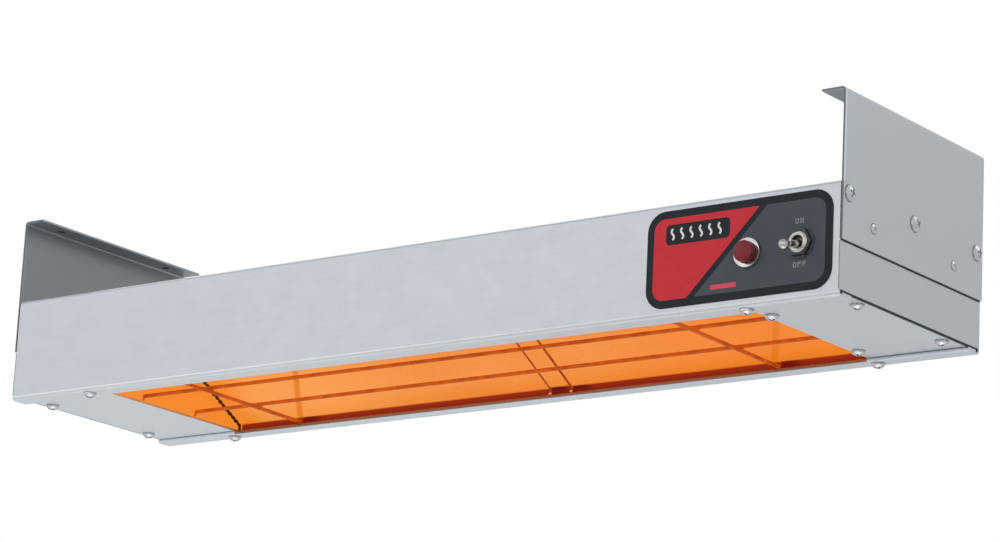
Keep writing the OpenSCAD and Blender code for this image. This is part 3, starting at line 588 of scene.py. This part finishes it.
def rounded(corners, steps=8):
    """A closed outline through corners of (x, z, radius), each turned with an arc of its radius."""
    outline = []
    for i, (x, z, radius) in enumerate(corners):
        here = Vector((x, z))
        before = (Vector(corners[i - 1][:2]) - here).normalized()
        after = (Vector(corners[(i + 1) % len(corners)][:2]) - here).normalized()
        half = before.angle(after) / 2
        middle = here + (before + after).normalized() * radius / math.sin(half)
        start = here + before * radius / math.tan(half) - middle
        sweep = (math.pi - 2 * half) * (1 if before.cross(after) < 0 else -1)
        for k in range(steps + 1):
            outline.append(middle + start.copy() @ Matrix.Rotation(-sweep * k / steps, 2))
    return outline


def extrude(mesh, outline, front, back):
    """Adds an (x, z) outline to the mesh, run from front to back along y."""
    near = [mesh.verts.new(at(x, front, z)) for x, z in outline]
    far = [mesh.verts.new(at(x, back, z)) for x, z in outline]
    mesh.faces.new(near)
    mesh.faces.new(list(reversed(far)))
    for i in range(len(outline)):
        j = (i + 1) % len(outline)
        mesh.faces.new([near[i], far[i], far[j], near[j]])


def turn(mesh, profile, origin, axis, steps=48, closed=False):
    """Adds a profile of (distance along axis, radius) in mm, turned about an axis through origin."""
    axis = axis.normalized()
    side = axis.orthogonal().normalized()
    other = axis.cross(side)
    rings = []
    for distance, radius in profile:
        middle = origin + axis * distance * MM
        if radius == 0:
            rings.append([mesh.verts.new(middle)])
            continue
        rings.append([
            mesh.verts.new(middle + (side * math.cos(angle) + other * math.sin(angle)) * radius * MM)
            for angle in (2 * math.pi * k / steps for k in range(steps))
        ])
    pairs = list(zip(rings, rings[1:])) + ([(rings[-1], rings[0])] if closed else [])
    for first, second in pairs:
        for k in range(steps):
            after = (k + 1) % steps
            # A ring of one point stands for the tip of the profile
            distinct = list(dict.fromkeys((
                first[k % len(first)], first[after % len(first)],
                second[after % len(second)], second[k % len(second)])))
            if len(distinct) > 2:
                mesh.faces.new(distinct)


def skin(mesh, rows):
    """Joins a run of closed sections, each with the same number of points, and caps both ends."""
    count = len(rows[0])
    for first, second in zip(rows, rows[1:]):
        for k in range(count):
            after = (k + 1) % count
            mesh.faces.new([first[k], first[after], second[after], second[k]])
    mesh.faces.new(rows[0])
    mesh.faces.new(rows[-1])


def lathe(name, profile, origin, axis, look, slot, closed=False, **ride):
    """A piece turned about an axis through origin."""
    mesh = bmesh.new()
    turn(mesh, profile, origin, axis, closed=closed)
    smooth_by_angle(mesh)
    finish_mesh(name, mesh, look, slot, **ride)


# ---- printed overlay -------------------------------------------------------------------------

label_low, label_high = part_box("control_label")
LABEL = {
    "left": label_low.x / MM, "right": label_high.x / MM,
    "bottom": (label_low.z - body_low.z) / MM, "top": (label_high.z - body_low.z) / MM,
    "face": (label_low.y - body_low.y) / MM,
}
BORDER = 4.5
FIELD_R = 7.0
STRIPE = 3.4
STRIPE_FOOT = 199.7          # where the diagonal stripe's middle line meets z = 0
STRIPE_R = 0.5               # radius of the fields' corners beside the stripe
INK = 0.04                   # thickness of a printed layer
BADGE = {"x": (192.0, 234.2), "z": (40.7, 52.3), "radius": 2.6}
BAR = {"x": (222.4, 239.2), "z": (12.1, 14.7), "radius": 0.6}
HEAT_LINES = 6
HEAT_SWING = 0.85
HEAT_WIDTH = 1.25


def ink(name, outline, look, layer=1):
    """A printed shape on the label's face; higher layers lie on top of lower ones."""
    mesh = bmesh.new()
    extrude(mesh, outline, LABEL["face"] - layer * INK, LABEL["face"] - (layer - 1) * INK + INK / 2)
    finish_mesh(name, mesh, look, "control_label")


def tablet(box):
    """Outline of a rectangle with rounded corners."""
    (x0, x1), (z0, z1), radius = box["x"], box["z"], box["radius"]
    return rounded([(x, z, radius) for x, z in ((x0, z0), (x1, z0), (x1, z1), (x0, z1))])


def wavy_line(middle, z0, z1):
    """Outline of a heat line that rises from z0 to z1 in one full wave."""
    left, right = [], []
    steps = 20
    for k in range(steps + 1):
        share = k / steps
        point = Vector((middle + HEAT_SWING * math.sin(2 * math.pi * share), z0 + (z1 - z0) * share))
        lean = HEAT_SWING * 2 * math.pi * math.cos(2 * math.pi * share) / (z1 - z0)
        across = Vector((1, -lean)).normalized() * HEAT_WIDTH / 2
        left.append(point - across)
        right.append(point + across)
    return left + list(reversed(right))


def overlay():
    """Red and grey fields either side of a black diagonal, a badge of heat lines, and a red bar."""
    left, right = LABEL["left"] + BORDER, LABEL["right"] - BORDER
    bottom, top = LABEL["bottom"] + BORDER, LABEL["top"] - BORDER
    half = STRIPE / 2 * math.sqrt(2)
    ink("label_red_field", rounded([
        (left, bottom, FIELD_R), (STRIPE_FOOT + bottom - half, bottom, STRIPE_R),
        (STRIPE_FOOT + top - half, top, STRIPE_R), (left, top, FIELD_R),
    ]), INK_RED)
    ink("label_grey_field", rounded([
        (STRIPE_FOOT + bottom + half, bottom, STRIPE_R), (right, bottom, FIELD_R),
        (right, top, FIELD_R), (STRIPE_FOOT + top + half, top, STRIPE_R),
    ]), INK_GREY)
    ink("label_badge", tablet(BADGE), LOOKS["control_label"], 2)
    first, last = BADGE["x"][0] + 4.4, BADGE["x"][1] - 6.8
    foot, head = BADGE["z"][0] + 2.8, BADGE["z"][1] - 2.4
    for k in range(HEAT_LINES):
        middle = first + (last - first) * k / (HEAT_LINES - 1)
        ink(f"label_heat_line_{k + 1}", wavy_line(middle, foot, head), INK_WHITE, 3)
    ink("label_red_bar", tablet(BAR), INK_BAR, 2)


overlay()

# ---- switch ----------------------------------------------------------------------------------

toggle = next(joint for joint in frame["joints"] if joint["name"] == "switch_toggle")
pivot = Vector(toggle["pos_m"])
lever_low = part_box("switch_lever")[0]
TIP_R = 3.0                  # radius of the lever's tip in the CAD model

MARKS = (("mark_on", "ON", 279.1, 44.3), ("mark_off", "OFF", 279.7, 19.9))
MARK_H = 3.0                 # height, width, stroke and spacing of the letters at the switch
MARK_W = 2.3
MARK_STROKE = 0.62
MARK_GAP = 0.75


def letter(kind, x, z):
    """Outlines of one letter, O, N or F, with its lower left corner at (x, z)."""
    w, h, t = MARK_W, MARK_H, MARK_STROKE
    if kind == "O":
        outer, inner = (
            rounded([(x + rim, z + rim, radius), (x + w - rim, z + rim, radius),
                     (x + w - rim, z + h - rim, radius), (x + rim, z + h - rim, radius)], 4)
            for rim, radius in ((0.0, 0.8), (t, 0.35)))
        half = len(outer) // 2
        return [outer[:half + 1] + list(reversed(inner[:half + 1])),
                outer[half:] + [outer[0], inner[0]] + list(reversed(inner[half:]))]
    upright = [(x, z), (x + t, z), (x + t, z + h), (x, z + h)]
    if kind == "N":
        return [upright, [(x + w - t, z), (x + w, z), (x + w, z + h), (x + w - t, z + h)],
                [(x + t, z + h), (x + t, z + h - 1.3 * t), (x + w - t, z), (x + w - t, z + 1.3 * t)]]
    middle = z + h * 0.48
    return [upright, [(x + t, z + h - t), (x + w, z + h - t), (x + w, z + h), (x + t, z + h)],
            [(x + t, middle), (x + w * 0.85, middle), (x + w * 0.85, middle + t), (x + t, middle + t)]]


def switch_marks():
    """The words for the switch's two positions, printed above and below it."""
    face = LABEL["face"] - 2 * INK
    for name, word, x, z in MARKS:
        width = len(word) * MARK_W + (len(word) - 1) * MARK_GAP
        mesh = bmesh.new()
        for k, kind in enumerate(word):
            for outline in letter(kind, x - width / 2 + k * (MARK_W + MARK_GAP), z - MARK_H / 2):
                extrude(mesh, outline, face, face + 1.5 * INK)
        finish_mesh(name, mesh, INK_PALE, "control_label")


def arc(middle, radius, start, end, steps):
    """Points of (distance, radius) on a ball, from one angle to another about its middle."""
    angles = (math.radians(start + (end - start) * k / steps) for k in range(steps + 1))
    return [(middle + radius * math.cos(angle), radius * math.sin(angle)) for angle in angles]


def toggle_lever():
    """Turned bat handle: the heel that works the rocker, a ball on the pin, a slim waist, a round tip."""
    tip = Vector((pivot.x, lever_low.y + TIP_R * MM, lever_low.z + TIP_R * MM))
    axis = tip - pivot
    reach = axis.length / MM
    heel = [(-9.0, 0.0)] + arc(-7.5, 1.45, 170, 80, 6) + [(-6.2, 1.25), (-3.4, 1.25)]
    ball = arc(0.0, 3.35, 155, 38, 14)
    waist = [(3.2, 2.45), (5.0, 2.25), (7.5, 1.9), (11.5, 1.7), (13.6, 1.75), (15.2, 2.15)]
    bat = arc(reach, 2.95, 128, 8, 14) + [(reach + 2.97, 0.0)]
    lathe("toggle_bat_handle", heel + ball + waist + bat, pivot, axis, LOOKS["chrome"], "chrome",
          body="lever", replaces=("switch_lever",))


def bushing_rim():
    """The rolled and polished rim round the mouth of the switch's bushing."""
    mouth = Vector((pivot.x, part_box("switch_bushing")[0].y, pivot.z))
    profile = [(0.35, 3.95), (0.0, 4.0), (-0.22, 4.3), (-0.3, 4.75), (-0.2, 5.15), (0.05, 5.42), (0.3, 5.5)]
    lathe("bushing_rim", profile, mouth, Vector((0, 1, 0)), LOOKS["chrome"], "chrome", closed=True)


switch_marks()
toggle_lever()
bushing_rim()

# ---- painted shade in the reflector seams, sheet gaps and fastener joints; weld beads --------

BRACKET_HEAD_R = 4.7         # radii of the screw and rivet heads
RIVET_HEAD_R = 3.0
PLATE_HEAD_R = 4.0


def islands(node):
    """The lowest and highest corners of each separate solid of a CAD node, in metres."""
    mesh = bmesh.new()
    mesh.from_mesh(frame["nodes"][node].data)
    bmesh.ops.remove_doubles(mesh, verts=mesh.verts, dist=WELD)
    boxes, seen = [], set()
    for start in mesh.verts:
        if start in seen:
            continue
        seen.add(start)
        group, todo = [], [start]
        while todo:
            here = todo.pop()
            group.append(here.co.copy())
            for edge in here.link_edges:
                other = edge.other_vert(here)
                if other not in seen:
                    seen.add(other)
                    todo.append(other)
        boxes.append((Vector(map(min, zip(*group))), Vector(map(max, zip(*group)))))
    mesh.free()
    return boxes


def head_seams(name, node, axis, face, radius):
    """A thin dark ring of painted shade round the foot of each of a node's heads.

    axis 0: the heads stand out to either side of x = face; axis 2: they hang below z = face.
    """
    mesh = bmesh.new()
    ring = [(-0.05, radius - 0.6), (-0.05, radius + 0.16), (0.05, radius + 0.15), (0.14, radius + 0.03),
            (0.14, radius - 0.6)]
    for low, high in islands(node):
        foot = (low + high) / 2
        out = Vector((0, 0, -1)) if axis == 2 else Vector((math.copysign(1, foot.x), 0, 0))
        foot[axis] = face if axis == 2 else out.x * face
        turn(mesh, ring, foot, out, steps=32, closed=True)
    smooth_by_angle(mesh)
    finish_mesh(name, mesh, GAP_SHADE, "sheet_steel")


def reflector_seams():
    """A jagged dark strip of painted shade in the gap round each end of the reflector."""
    foot = PLATE_UNDER + 0.2
    crown = (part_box("reflector")[1].z - body_low.z) / MM - 0.8
    front, rear = SKIRT_IN, DEPTH - SKIRT_IN
    rise = (crown - KNEE) / math.tan(math.radians(REFLECTOR_SLOPE))
    section = [(front, foot), (front, KNEE), (front + rise, crown),
               (rear - rise, crown), (rear, KNEE), (rear, foot)]
    focus_y, focus_z = DEPTH / 2, -20.0     # the line that the seams' edges face
    rng = random.Random(7)
    for side, tag in ((-1, "left"), (1, "right")):
        line = []
        for (y0, z0), (y1, z1) in zip(section, section[1:]):
            length = math.hypot(y1 - y0, z1 - z0)
            steps = max(2, round(length / 1.3))
            line += [(y0 + (y1 - y0) * k / steps, z0 + (z1 - z0) * k / steps) for k in range(steps)]
        line.append(section[-1])
        mesh = bmesh.new()
        near, far, top = [], [], []
        for k, (y, z) in enumerate(line):
            bite = (0.5 if k % 3 else -0.4) + rng.uniform(-0.3, 0.3)
            inward = Vector((0, focus_y - y, focus_z - z)).normalized()
            base = at(side * (SEAM_X - 0.05), y, z)
            far.append(mesh.verts.new(base + Vector((-side * (0.6 + 0.6 * bite) * MM, 0, 0))))
            near.append(mesh.verts.new(base + inward * (0.9 + 1.3 * k / len(line) + 0.9 * bite) * MM))
            top.append(mesh.verts.new(base + inward * 0.4 * MM + Vector((-side * 0.4 * MM, 0, 0))))
        for k in range(len(line) - 1):
            mesh.faces.new([near[k], near[k + 1], top[k + 1], top[k]])
            mesh.faces.new([top[k], top[k + 1], far[k + 1], far[k]])
        finish_mesh(f"reflector_seam_{tag}", mesh, SEAM, "hot_reflector")


def guard_welds():
    """A small flattened weld bead where each long wire crosses each cross wire."""
    long_low, long_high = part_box("guard_long_wires")
    wire_r = WIRE / 2 * MM
    mesh = bmesh.new()
    for side in (-1, 1):
        for y in (long_low.y + wire_r, long_high.y - wire_r):
            back_share = (y - wires_low.y) / (wires_high.y - wires_low.y)
            middle = Vector(((side * WIRE_X - WIRE_LEAN * back_share) * MM, y, wires_high.z))
            bead = bmesh.ops.create_icosphere(mesh, subdivisions=3, radius=1.0)
            for vert in bead["verts"]:
                swell = 1 + 0.12 * math.sin(5 * vert.co.x + 2 * vert.co.y)
                vert.co = middle + vert.co * Vector((1.9 * swell, 1.7 * swell, 0.75)) * wire_r
    smooth_by_angle(mesh, 60)
    finish_mesh("guard_weld_beads", mesh, LOOKS["guard_wire"], "guard_wire")


def gap_line(mesh, low, high, notch):
    """A thin dark bar of painted shade in the gap between two sheets; notch is how unevenly its edge runs."""
    rng = random.Random(round(low.z / MM * 10))
    thin, across, longest = sorted(range(3), key=lambda i: high[i] - low[i])
    steps = 36
    rows = []
    for k in range(steps + 1):
        row = []
        for is_far, is_deep in ((False, False), (True, False), (True, True), (False, True)):
            point = Vector(low)
            point[longest] = low[longest] + (high[longest] - low[longest]) * k / steps
            point[across] = high[across] - rng.uniform(0, notch) if is_far else low[across]
            point[thin] = high[thin] if is_deep else low[thin]
            row.append(mesh.verts.new(point))
        rows.append(row)
    skin(mesh, rows)


def sheet_gaps():
    """Painted shade in the gaps where the end caps meet the bottom plates, the brackets and the front panel."""
    gaps = (
        # (from x, to x), (from y, to y), (from z, to z), notch
        ((CAP_X - 1.34, CAP_X - 0.14), (1.6, DEPTH - 1.6), (PLATE_UNDER + 0.1, PLATE_UNDER + 1.2), 0.2),
        ((CAP_X, CAP_X + 0.12), (0.6, DEPTH - 0.6), (BRACKET_FOOT - 0.85, BRACKET_FOOT), 0.15),
        ((CAP_X - 0.35, CAP_X - 0.02), (-0.08, 0.0), (BRACKET_FOOT, ROOF - 1.5), 0.1),
        ((CAP_X - 0.42, CAP_X - 0.04), (-0.06, 0.0), (PLATE_UNDER + 1.0, BRACKET_FOOT - 1.0), 0.1),
    )
    for side, tag in ((-1, "left"), (1, "right")):
        mesh = bmesh.new()
        for (x0, x1), (y0, y1), (z0, z1), notch in gaps:
            ends = sorted((side * x0, side * x1))
            gap_line(mesh, at(ends[0], y0, z0), at(ends[1], y1, z1), notch * MM)
        finish_mesh(f"sheet_gaps_{tag}", mesh, GAP_SHADE, "sheet_steel")


def strap_edges():
    """Painted shade in strips along the strap's two edges down the rear slope and skirt."""
    slope = math.radians(REFLECTOR_SLOPE)
    rear = DEPTH - SKIRT_IN
    crown = (strap_high.z - body_low.z) / MM + 0.1
    rise = (crown - KNEE) / math.tan(slope)
    # Where the strap lies on the reflector, and which way it stands off it, from foot to crown
    line = [(rear, 3.3, -1.0, 0.0), (rear, KNEE - 0.2, -1.0, -0.3)]
    steps = 30
    for k in range(steps + 1):
        share = k / steps
        y, z = rear - rise * share, KNEE + (crown - KNEE) * share
        line.append((y, z, -math.sin(slope), -math.cos(slope)))
    rng = random.Random(3)
    for x, side, tag in ((strap_low.x / MM, -1, "left"), (strap_high.x / MM, 1, "right")):
        mesh = bmesh.new()
        rows = []
        for y, z, out_y, out_z in line:
            wide = 0.55 + rng.uniform(-0.12, 0.12)
            # The left edge faces away from the view, so its painted shade is carried onto the strap's face
            turned_in = 1.15 + rng.uniform(-0.12, 0.12) if side < 0 else 0.25
            section = ((wide, 0.05), (0.12, STRAP + 0.12), (-turned_in, STRAP + 0.08),
                       (-turned_in, STRAP - 0.05), (0.12, 0.05))
            rows.append([mesh.verts.new(at(x + side * across, y + out_y * out, z + out_z * out))
                         for across, out in section])
        skin(mesh, rows)
        finish_mesh(f"strap_edge_{tag}", mesh, STRAP_EDGE, "hot_reflector")
        strap_foot(f"strap_foot_{tag}", x + side * 0.1, rear - STRAP - 0.1, 4.3)


def strap_foot(name, x, y, z):
    """A flattened blob with a painted highlight, at a corner of the strap's foot."""
    mesh = bmesh.new()
    blob = bmesh.ops.create_icosphere(mesh, subdivisions=2, radius=1.0)
    for vert in blob["verts"]:
        vert.co = at(x + vert.co.x * 1.2, y + vert.co.y * 0.4, z + vert.co.z * 0.7)
    smooth_by_angle(mesh, 60)
    finish_mesh(name, mesh, FOOT_GLINT, "hot_reflector")


head_seams("bracket_screw_seams", "bracket_screws", 0, bracket_high.x, BRACKET_HEAD_R)
head_seams("bracket_rivet_seams", "bracket_rivets", 0, bracket_high.x, RIVET_HEAD_R)
head_seams("plate_screw_seams", "plate_screws", 2, at(0, 0, PLATE_UNDER).z, PLATE_HEAD_R)
head_seams("flange_screw_seams", "flange_screws", 2, body_low.z, PLATE_HEAD_R)
sheet_gaps()
reflector_seams()
strap_edges()
guard_welds()

# ---- camera, light and floor -----------------------------------------------------------------

VIEW_AZ = 37.457             # degrees right of straight in front
VIEW_EL = -14.626            # degrees above level, so the camera looks up from below
VIEW_ROLL = 2.914
VIEW_DISTANCE = 2.190
VIEW_TARGET = Vector((0.018667, 0.00095, -0.052028))
LENS = 131.6
SENSOR = 36.0
WARMER = (0, 0, -0.05)       # where the lamps point
FLOOR_Z = -6.0


def add_camera():
    """The photo's view: from the right and a little below."""
    az, el, roll = (math.radians(angle) for angle in (VIEW_AZ, VIEW_EL, VIEW_ROLL))
    back = Vector((math.sin(az) * math.cos(el), -math.cos(az) * math.cos(el), math.sin(el)))
    level_right = (-back).cross(Vector((0, 0, 1))).normalized()
    level_up = level_right.cross(-back)
    right = level_right * math.cos(roll) + level_up * math.sin(roll)
    up = -level_right * math.sin(roll) + level_up * math.cos(roll)
    camera = bpy.data.objects.new("camera", bpy.data.cameras.new("camera"))
    camera.data.lens = LENS
    camera.data.sensor_width = SENSOR
    camera.matrix_world = Matrix.Translation(VIEW_TARGET + back * VIEW_DISTANCE) @ Matrix(
        (right, up, back)).transposed().to_4x4()
    bpy.context.scene.collection.objects.link(camera)
    bpy.context.scene.camera = camera


def add_softbox(name, place, aim, size, power):
    """A round white lamp, size metres across, of that many watts."""
    lamp = bpy.data.lights.new(name, "AREA")
    lamp.shape = "DISK"
    lamp.size = size
    lamp.energy = power
    softbox = bpy.data.objects.new(name, lamp)
    softbox.location = place
    softbox.rotation_euler = (Vector(aim) - Vector(place)).to_track_quat("-Z", "Y").to_euler()
    bpy.context.scene.collection.objects.link(softbox)


def add_world():
    """A white studio sweep, a little darker to the rear right and overhead."""
    world = bpy.data.worlds.new("studio")
    world.use_nodes = True
    tree = world.node_tree
    background = tree.nodes["Background"]
    direction = tree.nodes.new("ShaderNodeTexCoord").outputs["Generated"]
    both = tree.nodes.new("ShaderNodeMath")
    both.operation = "MULTIPLY"
    rear_right = ((0.80, 0.60, 0.0), 0.15, 0.95, 0.62)
    overhead = ((0.0, 0.0, 1.0), 0.35, 0.95, 0.55)
    for factor, (axis, start, end, low) in zip(both.inputs, (rear_right, overhead)):
        toward = tree.nodes.new("ShaderNodeVectorMath")
        toward.operation = "DOT_PRODUCT"
        toward.inputs[1].default_value = axis
        tree.links.new(direction, toward.inputs[0])
        ranged = tree.nodes.new("ShaderNodeMapRange")
        ranged.interpolation_type = "SMOOTHSTEP"
        tree.links.new(toward.outputs["Value"], ranged.inputs["Value"])
        for name, number in (("From Min", start), ("From Max", end), ("To Min", 1.0), ("To Max", low)):
            ranged.inputs[name].default_value = number
        tree.links.new(ranged.outputs["Result"], factor)
    tree.links.new(both.outputs["Value"], background.inputs["Color"])
    background.inputs["Strength"].default_value = 1.0
    bpy.context.scene.world = world


def add_floor():
    """A pale floor far below the hung warmer."""
    mesh = bmesh.new()
    bmesh.ops.create_grid(mesh, x_segments=8, y_segments=8, size=40.0,
                          matrix=Matrix.Translation((0, 0, FLOOR_Z)))
    data = bpy.data.meshes.new("floor")
    mesh.to_mesh(data)
    mesh.free()
    floor = bpy.data.objects.new("floor", data)
    bpy.context.scene.collection.objects.link(floor)
    look = Look("pale_floor", (0.86, 0.86, 0.86), roughness=0.9, specular=0.1)
    look.tint(look.noise(900, detail=3.0), (0.82, 0.82, 0.82), 0.6)
    dress(floor, look)


add_camera()
add_world()
add_floor()
add_softbox("key", (-1.6, -2.2, 0.9), WARMER, 1.4, 1.5)
add_softbox("rim", (1.8, 1.2, 1.4), WARMER, 1.2, 4)
add_softbox("floor_bounce", (0, 0, -2.5), (0, 0, FLOOR_Z), 3.0, 170)
bpy.context.scene.view_settings.view_transform = "Standard"
